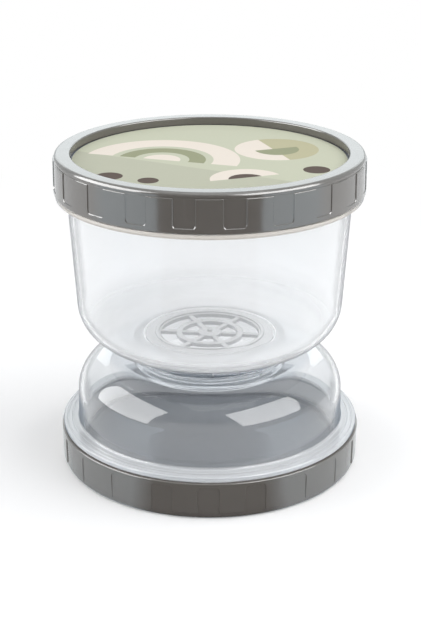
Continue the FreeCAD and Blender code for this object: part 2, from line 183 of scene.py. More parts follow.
class KeeperStrainer(bpy.types.PropertyGroup):
    """Slotted strainer wheel"""

    radius: length("Radius", "Strainer", 26.5)
    plate: length("Plate", "Rings and hub", 1.8)
    hub: length("Hub radius", "Hub", 4.9)
    pip: length("Pip radius", "Pip in the middle of the hub", 1.0)
    pip_height: length("Pip height", "Pip above the hub", 1.2)
    middle_inner: length("Middle ring inside", "Ring between the two rows of slots", 11.3)
    middle_outer: length("Middle ring outside", "Ring between the two rows of slots", 13.8)
    slot_outer: length("Slot end", "Outer end of the outer slots", 20.2)
    bead_inner: length("Bead inside", "Raised bead", 21.0)
    bead_outer: length("Bead outside", "Raised bead", 22.4)
    bead: length("Bead height", "Raised bead", 0.7)
    spokes: IntProperty(name="Spokes", description="Spokes", default=6, min=2)
    spoke_width: length("Spoke width", "Spokes", 2.3)
    spoke: length("Spoke thickness", "Spokes", 1.5)
    turn: angle("First spoke", "Where the first spoke lies", -6.3)


class KeeperFinish(bpy.types.PropertyGroup):
    """Colours of the pieces and the stage"""

    lid: colour("Lid", "Grey of the moulded lids", "#66625e")
    disc: colour("Disc", "Grey of the sealing discs", "#696f77")
    clear: colour("Clear plastic", "Tint of the containers", "#fafbfc")
    waist: colour("Clear plastic, waist", "Tint where spigot, collar and sleeve lie in each other", "#dbe2e8")
    # Painted shade: grey mixed into clear walls seen edge-on, and into the strainer's slot walls.
    painted_edge_grey: colour("Clear plastic, edge-on", "Tint where a wall is seen edge-on", "#abadb0")
    # Painted shade: deeper grey for the dome's edge-on wall, standing for the dark lid seen through it.
    painted_dome_edge_grey: colour("Clear plastic, edge-on over the lid", "Tint of the dome's wall beside the dark lid", "#868e97")
    flange: colour("Clear plastic, lower flange", "Tint of the lower container's flange and mouth", "#d8dbdf")
    mouth: colour("Clear plastic, mouth", "Tint of the upper container's flange", "#e8e2da")
    natural: colour("Natural plastic", "Whitish plastic of the strainer", "#f6f7f8")
    silicone: colour("Gaskets", "Silicone of the gaskets", "#d9dbdc")
    ground: colour("Film ground", "Sage that covers the film", "#bcbfac")
    shade: colour("Film shade", "Darker sage fields", "#b2b4a3")
    cream: colour("Film cream", "Light shapes", "#dcd4ca")
    olive: colour("Film olive", "Middle green shapes", "#92967b")
    khaki: colour("Film khaki", "Light green shapes", "#b2af92")
    brown: colour("Film brown", "Dark dots", "#5b504a")
    floor: colour("Floor", "Floor that the keeper stands on", "#f4f4f5")
    floor_seen: colour("Floor, seen", "Tint that lifts the floor where it is seen directly", "#f8feff")
    floor_mirrored: colour("Floor, mirrored", "Tint of the floor in a mirror", "#e7f9ff")
    floor_front: colour("Floor in front, mirrored", "Tint of the floor before the keeper in a mirror", "#a0e1ff")
    cloth: colour("Cloth", "Black cloth that only mirrors see", "#1a1a1a")
    room: colour("Room, mirrored", "Tint of the room in a mirror", "#f3fcff")
    strip: colour("Strip lamp", "Light of the strip behind the keeper", "#f7fdff")


# Modelling, in the order that a hand works: draw, turn, cut, join.

def at_rest():
    """Leaves edit mode with nothing selected."""
    if bpy.context.mode != "OBJECT":
        bpy.ops.object.mode_set(mode="OBJECT")
    bpy.ops.object.select_all(action="DESELECT")


def activate(piece):
    at_rest()
    piece.select_set(True)
    bpy.context.view_layer.objects.active = piece


def edit_all(piece):
    """Opens a piece in edit mode with all of it selected."""
    activate(piece)
    bpy.ops.object.mode_set(mode="EDIT")
    bpy.ops.mesh.select_all(action="SELECT")


def pick(piece, kind, wanted):
    """Selects the points, edges or faces of a piece whose corners wanted() accepts, and stays in edit mode."""
    activate(piece)
    bpy.ops.object.mode_set(mode="EDIT")
    bpy.ops.mesh.select_mode(type=kind)
    bpy.ops.mesh.select_all(action="DESELECT")
    bpy.ops.object.mode_set(mode="OBJECT")
    mesh = piece.data
    if kind == "VERT":
        chosen = [(point, [point.co]) for point in mesh.vertices]
    else:
        items = mesh.edges if kind == "EDGE" else mesh.polygons
        chosen = [(item, [mesh.vertices[index].co for index in item.vertices]) for item in items]
    found = 0
    for item, corners in chosen:
        item.select = bool(wanted(corners))
        found += item.select
    if not found:
        raise RuntimeError(f"{piece.name}: nothing to select")
    bpy.ops.object.mode_set(mode="EDIT")


def near(first, second, reach=2 * WELD):
    return abs(first - second) < reach


def draw(name, outline):
    """Draws an outline by extruding a point along it, then rounds corners.

    A corner is its distance from the axis and its height, and where it is rounded also the rounding's radius and
    its segments. An outline that starts and ends on the axis stays open.
    """
    corners = [corner[:2] for corner in outline]
    at_rest()
    start = corners[0]
    bpy.ops.mesh.primitive_plane_add(size=MM, location=(start[0], 0, start[1]))
    piece = bpy.context.object
    piece.name = piece.data.name = name
    bpy.ops.object.transform_apply(location=True, rotation=True, scale=True)
    bpy.ops.object.mode_set(mode="EDIT")
    bpy.ops.mesh.select_mode(type="VERT")
    bpy.ops.mesh.select_all(action="SELECT")
    bpy.ops.mesh.merge(type="CENTER")
    closed = corners[0][0] > 0 or corners[-1][0] > 0
    for before, after in zip(corners, corners[1:] + (corners[:1] if closed else [])):
        step = (after[0] - before[0], 0, after[1] - before[1])
        bpy.ops.mesh.extrude_vertices_move(TRANSFORM_OT_translate={"value": step})
    bpy.ops.mesh.select_all(action="SELECT")
    bpy.ops.mesh.remove_doubles(threshold=WELD)
    for place, (_, _, *rounding) in enumerate(outline):
        if not rounding:
            continue
        radius, segments = rounding
        corner = Vector(corners[place])
        ways = [(Vector(corners[(place + side) % len(corners)]) - corner).normalized() for side in (-1, 1)]
        tangent = radius / math.tan(ways[0].angle(ways[1]) / 2)
        pick(piece, "VERT", lambda points: near(points[0].x, corner.x) and near(points[0].z, corner.y))
        bpy.ops.mesh.bevel(offset=tangent, offset_type="OFFSET", segments=segments, affect="VERTICES")
    at_rest()
    return piece


def close_up(piece):
    """Merges doubles and points every face outwards."""
    edit_all(piece)
    bpy.ops.mesh.remove_doubles(threshold=WELD)
    bpy.ops.mesh.normals_make_consistent(inside=False)
    at_rest()


def turned(name, outline, steps=256):
    """Turns an outline once round the Z axis."""
    piece = draw(name, outline)
    edit_all(piece)
    bpy.ops.mesh.spin(steps=steps, angle=FULL_TURN, center=(0, 0, 0), axis=(0, 0, 1))
    close_up(piece)
    return piece


def flat_ring(name, inner, outer, low, thickness, rounding, steps):
    """Turns a flat ring with four rounded edges."""
    high = low + thickness
    corners = ((inner, low), (outer, low), (outer, high), (inner, high))
    return turned(name, [(*corner, rounding, 3) for corner in corners], steps)


def repeat(piece, count):
    """Copies what the piece holds round the Z axis, as a hand does with a spin of duplicates."""
    edit_all(piece)
    bpy.ops.mesh.spin(
        steps=count - 1, dupli=True, angle=FULL_TURN * (count - 1) / count, center=(0, 0, 0), axis=(0, 0, 1))
    at_rest()


def stand(piece, lift=0.0, turn=0.0, flip=False):
    """Turns a piece about the Z axis, after turning it over about X, lifts it, and leaves its place in its mesh."""
    activate(piece)
    if flip:
        piece.rotation_euler = (math.pi, 0, 0)
        bpy.ops.object.transform_apply(location=False, rotation=True, scale=False)
    piece.rotation_euler = (0, 0, turn)
    piece.location = (0, 0, lift)
    bpy.ops.object.transform_apply(location=True, rotation=True, scale=False)
    at_rest()


def combine(piece, other, operation):
    """Joins another solid to a piece or cuts it out of it."""
    modifier = piece.modifiers.new("Solid", "BOOLEAN")
    modifier.operation = operation
    modifier.solver = "MANIFOLD"
    modifier.object = other
    activate(piece)
    before = len(piece.data.polygons)
    bpy.ops.object.modifier_apply(modifier=modifier.name)
    if len(piece.data.polygons) == before:
        raise RuntimeError(f"{piece.name}: {other.name} changes nothing")
    activate(other)
    bpy.ops.object.delete()


def copied(piece, name):
    activate(piece)
    bpy.ops.object.duplicate()
    twin = bpy.context.object
    twin.name = twin.data.name = name
    at_rest()
    return twin


def smooth(piece):
    """Smooths the shading, and keeps broad faces flat beside small roundings."""
    activate(piece)
    bpy.ops.object.shade_smooth_by_angle(angle=SHARP)
    weighted = piece.modifiers.new("Normals", "WEIGHTED_NORMAL")
    weighted.keep_sharp = True
    bpy.ops.object.modifier_apply(modifier=weighted.name)
    at_rest()


def place_piece(piece, body, slot, finish, *nodes):
    """Gives a finished piece its material and its body, in place of the plain nodes that it stands for."""
    piece.data.materials.clear()
    piece.data.materials.append(finish)
    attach(piece, body)
    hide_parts(*nodes)


def thread(name, root, crest, base, tip, start, span, lead, starts):
    """Models threads side by side as one solid that grows out of a wall, whose root lies inside the wall."""
    piece = draw(name, [
        (root, start - base / 2), (crest, start - tip / 2), (crest, start + tip / 2), (root, start + base / 2)])
    screw = piece.modifiers.new("Helix", "SCREW")
    screw.axis = "Z"
    screw.angle = span
    screw.screw_offset = lead * span / FULL_TURN
    step_degrees, fewest_steps = 3, 8
    screw.steps = screw.render_steps = max(fewest_steps, round(math.degrees(span) / step_degrees))
    activate(piece)
    bpy.ops.object.modifier_apply(modifier=screw.name)

    def end_of_crest(points):
        turn = math.atan2(points[0].y, points[0].x) % FULL_TURN
        at_end = any(near(turn, end, reach=1e-3) for end in (0, FULL_TURN, span))
        return at_end and near(points[0].xy.length, crest, reach=10 * WELD)

    # At both ends the crest sinks most of the way to the root, so the thread fades into the wall.
    faded = 0.82
    pick(piece, "VERT", end_of_crest)
    sink = (crest + faded * (root - crest)) / crest
    bpy.ops.transform.resize(value=(sink, sink, 1), center_override=(0, 0, 0))
    bpy.ops.mesh.select_all(action="SELECT")
    bpy.ops.mesh.fill_holes(sides=4)
    close_up(piece)
    repeat(piece, starts)
    return piece


# Materials. Patterns read object coordinates, and their scales come from sizes in millimetres.

def add(tree, kind, sockets=(), **settings):
    """Adds a shader node, sets it up and fills its sockets with values or with other nodes' outputs.

    A node that is given for a socket stands for its first output in use.
    """
    node = tree.nodes.new("ShaderNode" + kind)
    for name, value in settings.items():
        setattr(node, name, value)
    for key, value in dict(sockets).items():
        if isinstance(value, bpy.types.Node):
            value = next(output for output in value.outputs if output.enabled)
        if isinstance(value, bpy.types.NodeSocket):
            tree.links.new(value, node.inputs[key])
        else:
            node.inputs[key].default_value = value
    return node


def new_material(name):
    """Starts a material. Gives it, its node tree and the object coordinates that its patterns read."""
    material = bpy.data.materials.new(name)
    material.use_nodes = True
    tree = material.node_tree
    tree.nodes.clear()
    return material, tree, add(tree, "TexCoord").outputs["Object"]


def per(millimetres):
    """Scale of a pattern whose features are this many millimetres apart, on coordinates in metres."""
    return 1 / MM / millimetres


def opaque(tint):
    return (*tint, 1.0)


def by_height(tree, share, bands):
    """Colour that changes with height on the keeper, which share gives from 0 to 1.

    Each band has one or two heights in millimetres and the linear colour that it has there.
    """
    node = add(tree, "ValToRGB", {"Fac": share})
    stops = node.color_ramp.elements
    levels = [(level, tint) for heights, tint in bands for level in heights]
    for number, (level, tint) in enumerate(levels):
        stop = stops[number] if number < 2 else stops.new(1)
        stop.position = level * MM / TOP
        stop.color = opaque(tint)
    return node


def mirror_only(tree, path):
    """1 on a reflected ray. Is Glossy Ray alone also counts a ray that a clear wall lets through."""
    return add(tree, "Math", {
        0: path.outputs["Is Glossy Ray"], 1: path.outputs["Is Transmission Ray"]},
        operation="SUBTRACT", use_clamp=True)


def moulded_lid_plastic(look):
    """Polypropylene, injection moulded in a polished tool: deep grey with a clear, slightly rippled reflection."""
    material, tree, place = new_material("Moulded polypropylene, lid grey")
    # Flow of the melt: a cloudy change of depth, about 25 mm across, that the eye only just finds.
    flow = add(tree, "TexNoise", {"Vector": place, "Scale": per(25), "Detail": 2.0})
    depth = add(tree, "MapRange", {"Value": flow, "To Min": 0.95, "To Max": 1.05})
    tone = add(tree, "HueSaturation", {"Value": depth, "Color": opaque(look.lid)})
    # Handling: the gloss is a little duller in patches, 4 mm across.
    wear = add(tree, "TexNoise", {"Vector": place, "Scale": per(4), "Detail": 4.0})
    gloss = add(tree, "MapRange", {"Value": wear, "To Min": 0.10, "To Max": 0.20})
    # Sink and ripple of the skin, 7 mm across and a few hundredths deep, so reflected edges aren't ruled lines.
    ripple = add(tree, "TexNoise", {"Vector": place, "Scale": per(7), "Detail": 1.0})
    bump = add(tree, "Bump", {"Strength": 0.5, "Distance": 0.07 * MM, "Height": ripple})
    shader = add(tree, "BsdfPrincipled", {
        "Base Color": tone, "Roughness": gloss, "IOR": POLYPROPYLENE_IOR, "Specular IOR Level": 1.0, "Normal": bump})
    add(tree, "OutputMaterial", {"Surface": shader})
    return material


def moulded_disc_plastic(look):
    """Polypropylene, injection moulded in an eroded tool: the same grey, satin, with a fine sparkle of texture."""
    material, tree, place = new_material("Moulded polypropylene, satin disc")
    flow = add(tree, "TexNoise", {"Vector": place, "Scale": per(30), "Detail": 2.0})
    depth = add(tree, "MapRange", {"Value": flow, "To Min": 0.96, "To Max": 1.04})
    tone = add(tree, "HueSaturation", {"Value": depth, "Color": opaque(look.disc)})
    # Spark erosion leaves pits of 0.1 mm; they are drawn 0.5 mm apart so that they show.
    pits = add(tree, "TexNoise", {"Vector": place, "Scale": per(0.5), "Detail": 2.0})
    bump = add(tree, "Bump", {"Strength": 0.15, "Distance": 0.01 * MM, "Height": pits})
    shader = add(tree, "BsdfPrincipled", {
        "Base Color": tone, "Roughness": 0.34, "IOR": POLYPROPYLENE_IOR, "Normal": bump})
    add(tree, "OutputMaterial", {"Surface": shader})
    return material


def let_light_through(tree, shader, share):
    """Ends a material so that a share of the light goes straight through it: clear plastic casts a pale shadow."""
    path = add(tree, "LightPath")
    through = add(tree, "Math", {
        0: path.outputs["Is Shadow Ray"], 1: path.outputs["Is Diffuse Ray"]}, operation="MAXIMUM")
    straight = add(tree, "BsdfTransparent", {"Color": (share, share, share, 1.0)})
    mixed = add(tree, "MixShader", {0: through, 1: shader, 2: straight})
    add(tree, "OutputMaterial", {"Surface": mixed})


def moulded_clear_plastic(look):
    """Clarified polypropylene, injection moulded: clear and glossy in thin walls, milky where it is thick."""
    material, tree, place = new_material("Moulded clarified polypropylene")
    # The melt's flow leaves ripples about 14 mm across, which bend reflections a little.
    ripple = add(tree, "TexNoise", {"Vector": place, "Scale": per(14), "Detail": 1.0})
    bump = add(tree, "Bump", {"Strength": 0.1, "Distance": 0.04 * MM, "Height": ripple})
    # Rinsing and wiping dull the gloss a touch, in patches 6 mm across.
    wear = add(tree, "TexNoise", {"Vector": place, "Scale": per(6), "Detail": 3.0})
    gloss = add(tree, "MapRange", {"Value": wear, "To Min": 0.02, "To Max": 0.06})
    # Flanges, mouths and the floor round the strainer are thick and cool slowly, so they turn milky. The floor round
    # the strainer also glows a little, painted light that brightens it. From the waist up the walls mirror less.
    height = add(tree, "SeparateXYZ", {"Vector": place}).outputs["Z"]
    share = add(tree, "Math", {0: height, 1: TOP}, operation="DIVIDE")
    # Milkiness, painted light and mirroring of each band, held as red, green and blue.
    zone = add(tree, "SeparateColor", {"Color": by_height(tree, share, (
        ((0, 17.5), (0.7, 0.0, 1.0)),  # Lower mouth and flange.
        ((18.5, 35), (0.06, 0.0, 1.0)),  # Side of the dome.
        ((37, 46.4), (0.01, 0.0, 1.0)),  # Shoulder of the dome, collar.
        ((47, 51.3), (0.01, 0.0, 0.3)),  # Waist.
        ((52,), (0.5, 0.05, 0.35)),
        ((54,), (0.5, 0.12, 0.35)),  # Floor round the strainer.
        ((58,), (0.3, 0.05, 0.35)),
        ((68, 112.6), (0.07, 0.0, 0.35)),  # Upper wall.
        ((113,), (0.5, 0.0, 0.35)),  # Upper flange and mouth.
    ))})
    clear = add(tree, "Math", {0: 1.0, 1: zone.outputs["Red"]}, operation="SUBTRACT")
    tint = by_height(tree, share, (
        ((0, 17.5), look.flange), ((18.5, 45.4), look.clear), ((46.2, 51.3), look.waist), ((52, 112.6), look.clear),
        ((113, 115.4), look.mouth), ((115.8,), look.clear)))
    mirroring = add(tree, "CombineColor", {channel: zone.outputs["Blue"] for channel in ("Red", "Green", "Blue")})
    shader = add(tree, "BsdfPrincipled", {
        "Base Color": tint, "Roughness": gloss, "IOR": POLYPROPYLENE_IOR, "Transmission Weight": clear,
        "Specular Tint": mirroring, "Emission Color": opaque(look.clear), "Emission Strength": zone.outputs["Green"],
        "Normal": bump})
    # A wall seen edge-on is mixed with a matt grey: painted shade that stands for the dark edge of a clear wall.
    # Low on the dome the painted grey stands for the dark lid seen through the wall, so it is deeper and wider there.
    lid_reach_low, lid_reach_high = 27 * MM, 31 * MM
    raised = {"Value": height, "From Min": lid_reach_low, "From Max": lid_reach_high}
    above_lid = add(tree, "MapRange", raised)
    start = add(tree, "MapRange", {**raised, "To Min": 0.66, "To Max": 0.7})
    full = add(tree, "MapRange", {**raised, "To Min": 0.8, "To Max": 0.88})
    graze = add(tree, "LayerWeight", {"Blend": 0.5})
    depth = add(tree, "MapRange", {
        "Value": graze.outputs["Facing"], "From Min": start, "From Max": full, "To Max": 0.85})
    grey = add(tree, "Mix", {0: above_lid, 6: opaque(look.painted_dome_edge_grey), 7: opaque(look.painted_edge_grey)}, data_type="RGBA")
    outside = add(tree, "Math", {0: 1.0, 1: add(tree, "NewGeometry").outputs["Backfacing"]}, operation="SUBTRACT")
    painted_edge_share = add(tree, "Math", {0: depth, 1: outside}, operation="MULTIPLY")
    edge = add(tree, "BsdfDiffuse", {"Color": grey})
    wall = add(tree, "MixShader", {0: painted_edge_share, 1: shader, 2: edge})
    # The spigot's bore and the ledge are shaped by a blasted core, which leaves them frosted on the air side. The
    # frost also glows, painted light that brightens the bore.
    core_radius, frost_share = 27.4 * MM, 0.8
    flat = add(tree, "VectorMath", {0: place, 1: (1, 1, 0)}, operation="MULTIPLY")
    around = add(tree, "VectorMath", {0: flat}, operation="LENGTH")
    core = add(tree, "Math", {0: around, 1: core_radius}, operation="LESS_THAN")
    frosted = add(tree, "Math", {0: core, 1: outside}, operation="MULTIPLY")
    frost = add(tree, "Math", {0: frosted, 1: frost_share}, operation="MULTIPLY")
    frost_and_painted_glow = add(tree, "BsdfPrincipled", {
        "Base Color": opaque(look.natural), "Roughness": 0.6, "Emission Color": opaque(look.natural),
        "Emission Strength": 0.4})
    wall = add(tree, "MixShader", {0: frost, 1: wall, 2: frost_and_painted_glow})
    let_light_through(tree, wall, share=0.97)
    return material


def moulded_natural_plastic(look):
    """Natural polypropylene, injection moulded in a blasted tool: whitish, lets light through, with a soft gloss."""
    material, tree, place = new_material("Moulded natural polypropylene")
    # Bloom in the depth of the plastic, uneven over 5 mm.
    bloom = add(tree, "TexNoise", {"Vector": place, "Scale": per(5), "Detail": 2.0})
    clear = add(tree, "MapRange", {"Value": bloom, "To Min": 0.22, "To Max": 0.34})
    # Blasting with grit leaves a skin of 0.1 mm dimples, drawn 0.5 mm apart so that they show.
    dimples = add(tree, "TexNoise", {"Vector": place, "Scale": per(0.5), "Detail": 1.0})
    bump = add(tree, "Bump", {"Strength": 0.15, "Distance": 0.01 * MM, "Height": dimples})
    # Roundings that turn away from the eye and the slots' upright walls are tinted grey, painted shade that draws a
    # grey line round every slot.
    graze = add(tree, "LayerWeight", {"Blend": 0.5})
    turned_away = add(tree, "MapRange", {"Value": graze.outputs["Facing"], "From Min": 0.68, "From Max": 0.8})
    normal = add(tree, "NewGeometry").outputs["Normal"]
    slope = add(tree, "Math", {0: add(tree, "SeparateXYZ", {"Vector": normal}).outputs["Z"]}, operation="ABSOLUTE")
    upright = add(tree, "MapRange", {
        "Value": slope, "From Min": 0.4, "From Max": 0.75, "To Min": 0.65, "To Max": 0.0})
    depth = add(tree, "Math", {0: turned_away, 1: upright}, operation="MAXIMUM")
    tint = add(tree, "Mix", {0: depth, 6: opaque(look.natural), 7: opaque(look.painted_edge_grey)}, data_type="RGBA")
    # The other faces give off a little light: painted light that keeps the strainer bright.
    painted_glow = add(tree, "MapRange", {"Value": depth, "To Min": 0.12, "To Max": 0.0})
    shader = add(tree, "BsdfPrincipled", {
        "Base Color": tint, "Roughness": 0.22, "IOR": POLYPROPYLENE_IOR, "Transmission Weight": clear,
        "Emission Color": opaque(look.natural), "Emission Strength": painted_glow, "Normal": bump})
    let_light_through(tree, shader, share=0.9)
    return material


def moulded_silicone(look):
    """Silicone rubber, compression moulded: milky and soft, with a dull skin that dust clings to."""
    material, tree, place = new_material("Moulded silicone, milky")
    dust = add(tree, "TexNoise", {"Vector": place, "Scale": per(1.5), "Detail": 3.0})
    dull = add(tree, "MapRange", {"Value": dust, "To Min": 0.42, "To Max": 0.6})
    bump = add(tree, "Bump", {"Strength": 0.3, "Distance": 0.02 * MM, "Height": dust})
    shader = add(tree, "BsdfPrincipled", {
        "Base Color": opaque(look.silicone), "Roughness": dull, "IOR": 1.41,
        "Subsurface Weight": 0.3, "Subsurface Radius": (4 * MM, 4 * MM, 4 * MM), "Subsurface Scale": 0.5,
        "Normal": bump})
    add(tree, "OutputMaterial", {"Surface": shader})
    return material


def printed_film(look):
    """Polypropylene film, offset printed and varnished: flat inks with crisp edges under a matt coat.

    The print is a field of arches, half rounds and dots, whose places and sizes are in millimetres.
    """
    material, tree, place = new_material("Printed film, matt varnish")

    def inside(x, y, radius):
        """1 inside a circle."""
        far = add(tree, "VectorMath", {0: flat, 1: (x * MM, y * MM, 0)}, operation="DISTANCE")
        return add(tree, "MapRange", {
            "Value": far, "From Min": (radius + soft) * MM, "From Max": (radius - soft) * MM})

    def beyond(degrees, offset):
        """1 on the far side of a line that stands square to the given direction, at an offset from the middle."""
        turn = math.radians(degrees)
        along = add(tree, "VectorMath", {0: flat, 1: (math.cos(turn), math.sin(turn), 0)}, operation="DOT_PRODUCT")
        return add(tree, "MapRange", {
            "Value": along, "From Min": (offset - soft) * MM, "From Max": (offset + soft) * MM})

    def both(first, second):
        return add(tree, "Math", {0: first, 1: second}, operation="MULTIPLY")

    def without(first, second):
        rest = add(tree, "Math", {0: 1.0, 1: second}, operation="SUBTRACT")
        return both(first, rest)

    def ink(mask, tint, under):
        return add(tree, "Mix", {0: mask, 6: under, 7: opaque(tint)}, data_type="RGBA")

    soft = 0.06  # Edge of ink on film.
    flat = add(tree, "VectorMath", {0: place, 1: (1, 1, 0)}, operation="MULTIPLY")
    layer = ink(beyond(-118, 16), look.shade, opaque(look.ground))
    # An arch of three bands, with its feet on a slanting line.
    above = beyond(72, -9)
    for outer, inner, tint in ((31, 20.5, look.cream), (17.5, 11, look.olive)):
        band = without(inside(-19, -3, outer), inside(-19, -3, inner))
        layer = ink(both(band, above), tint, layer)
    layer = ink(both(inside(-19, -3, 7.5), above), look.cream, layer)
    # A round on the right: half cream, half khaki, with a smaller half round across it.
    layer = ink(inside(27, 13, 17), look.cream, layer)
    layer = ink(both(inside(27, 13, 17), beyond(20, 28.5)), look.khaki, layer)
    layer = ink(both(inside(27, 13, 9), beyond(-70, -4)), look.olive, layer)
    # A half round low on the right, and three dots.
    layer = ink(both(inside(14, -31, 14), beyond(110, -32)), look.cream, layer)
    layer = ink(both(inside(14, -31, 7), beyond(110, -32)), look.brown, layer)
    for x, y, radius in ((-38, -27, 5.2), (-23, -33, 4.0), (41, -18, 5.2)):
        layer = ink(inside(x, y, radius), look.brown, layer)
    # Print grain, drawn 0.6 mm across so that it shows.
    grain = add(tree, "TexNoise", {"Vector": place, "Scale": per(0.6), "Detail": 2.0})
    depth = add(tree, "MapRange", {"Value": grain, "To Min": 0.97, "To Max": 1.03})
    tone = add(tree, "HueSaturation", {"Value": depth, "Color": layer})
    varnish = add(tree, "Bump", {"Strength": 0.3, "Distance": 0.01 * MM, "Height": grain})
    shader = add(tree, "BsdfPrincipled", {
        "Base Color": tone, "Roughness": 0.6, "IOR": 1.45, "Specular IOR Level": 0.03, "Normal": varnish})
    add(tree, "OutputMaterial", {"Surface": shader})
    return material


def painted_floor(look):
    """Painted board: pale and dull. Seen directly it is lifted a little, and far out it runs into the backdrop."""
    material, tree, place = new_material("Painted board")
    nap = add(tree, "TexNoise", {"Vector": place, "Scale": per(3), "Detail": 3.0})
    bump = add(tree, "Bump", {"Strength": 0.1, "Distance": 0.05 * MM, "Height": nap})
    board = add(tree, "BsdfDiffuse", {"Color": opaque(look.floor), "Normal": bump})
    path = add(tree, "LightPath")
    seen = add(tree, "Math", {
        0: path.outputs["Is Camera Ray"], 1: path.outputs["Is Transmission Ray"]}, operation="MAXIMUM")
    mirrored = mirror_only(tree, path)
    # In a mirror the floor is brighter and bluer, above all in front of the keeper.
    ahead = add(tree, "SeparateXYZ", {"Vector": place}).outputs["Y"]
    front = add(tree, "MapRange", {"Value": ahead, "From Min": 0.0, "From Max": -0.1})
    bright = add(tree, "MapRange", {"Value": front, "To Min": 0.25, "To Max": 0.62})
    blue = add(tree, "Mix", {
        0: front, 6: opaque(look.floor_mirrored), 7: opaque(look.floor_front)}, data_type="RGBA")
    seen_lift = 0.1
    strength = add(tree, "Math", {0: seen, 1: seen_lift}, operation="MULTIPLY")
    strength = add(tree, "Math", {0: mirrored, 1: bright, 2: strength}, operation="MULTIPLY_ADD")
    cool = add(tree, "Mix", {0: mirrored, 6: opaque(look.floor_seen), 7: blue}, data_type="RGBA")
    lift = add(tree, "Emission", {"Color": cool, "Strength": strength})
    lifted = add(tree, "AddShader", {0: board, 1: lift})
    far = add(tree, "VectorMath", {0: place}, operation="LENGTH")
    fade = add(tree, "MapRange", {"Value": far, "From Min": 0.1, "From Max": 0.45}, interpolation_type="SMOOTHSTEP")
    fade = add(tree, "Math", {0: fade, 1: seen}, operation="MULTIPLY")
    backdrop = add(tree, "Emission", {"Strength": 1.0})
    ground = add(tree, "MixShader", {0: fade, 1: lifted, 2: backdrop})
    add(tree, "OutputMaterial", {"Surface": ground})
    return material


def black_cloth(look):
    """Black flocked cloth: a dark field that only reflections see, fading to clear along its near sides, which softens
    the edge of its painted dark reflection.
    """
    material, tree, place = new_material("Black flocked cloth")
    place = add(tree, "SeparateXYZ", {"Vector": place})
    across = add(tree, "Math", {0: place.outputs["X"]}, operation="ABSOLUTE")
    sides_meet = -32 * MM
    away = add(tree, "Math", {0: sides_meet, 1: place.outputs["Y"]}, operation="SUBTRACT")
    slant = add(tree, "Math", {0: across, 1: away}, operation="DIVIDE")
    # The fade to clear shapes the edge of the cloth's dark reflection on the lids: painted reflection.
    thin = add(tree, "MapRange", {"Value": slant, "From Min": 0.85, "From Max": 1.5})
    cloth = add(tree, "BsdfDiffuse", {"Color": opaque(look.cloth)})
    fade_through = add(tree, "BsdfTransparent")
    cloth_fading = add(tree, "MixShader", {0: thin, 1: cloth, 2: fade_through})
    add(tree, "OutputMaterial", {"Surface": cloth_fading})
    return material


def finish_of(context, maker):
    """The material that a maker makes, made once."""
    label = "keeper_" + maker.__name__
    for material in bpy.data.materials:
        if material.get("made_by") == label:
            return material
    material = maker(context.scene.keeper_finish)
    material["made_by"] = label
    return material


# Pieces.

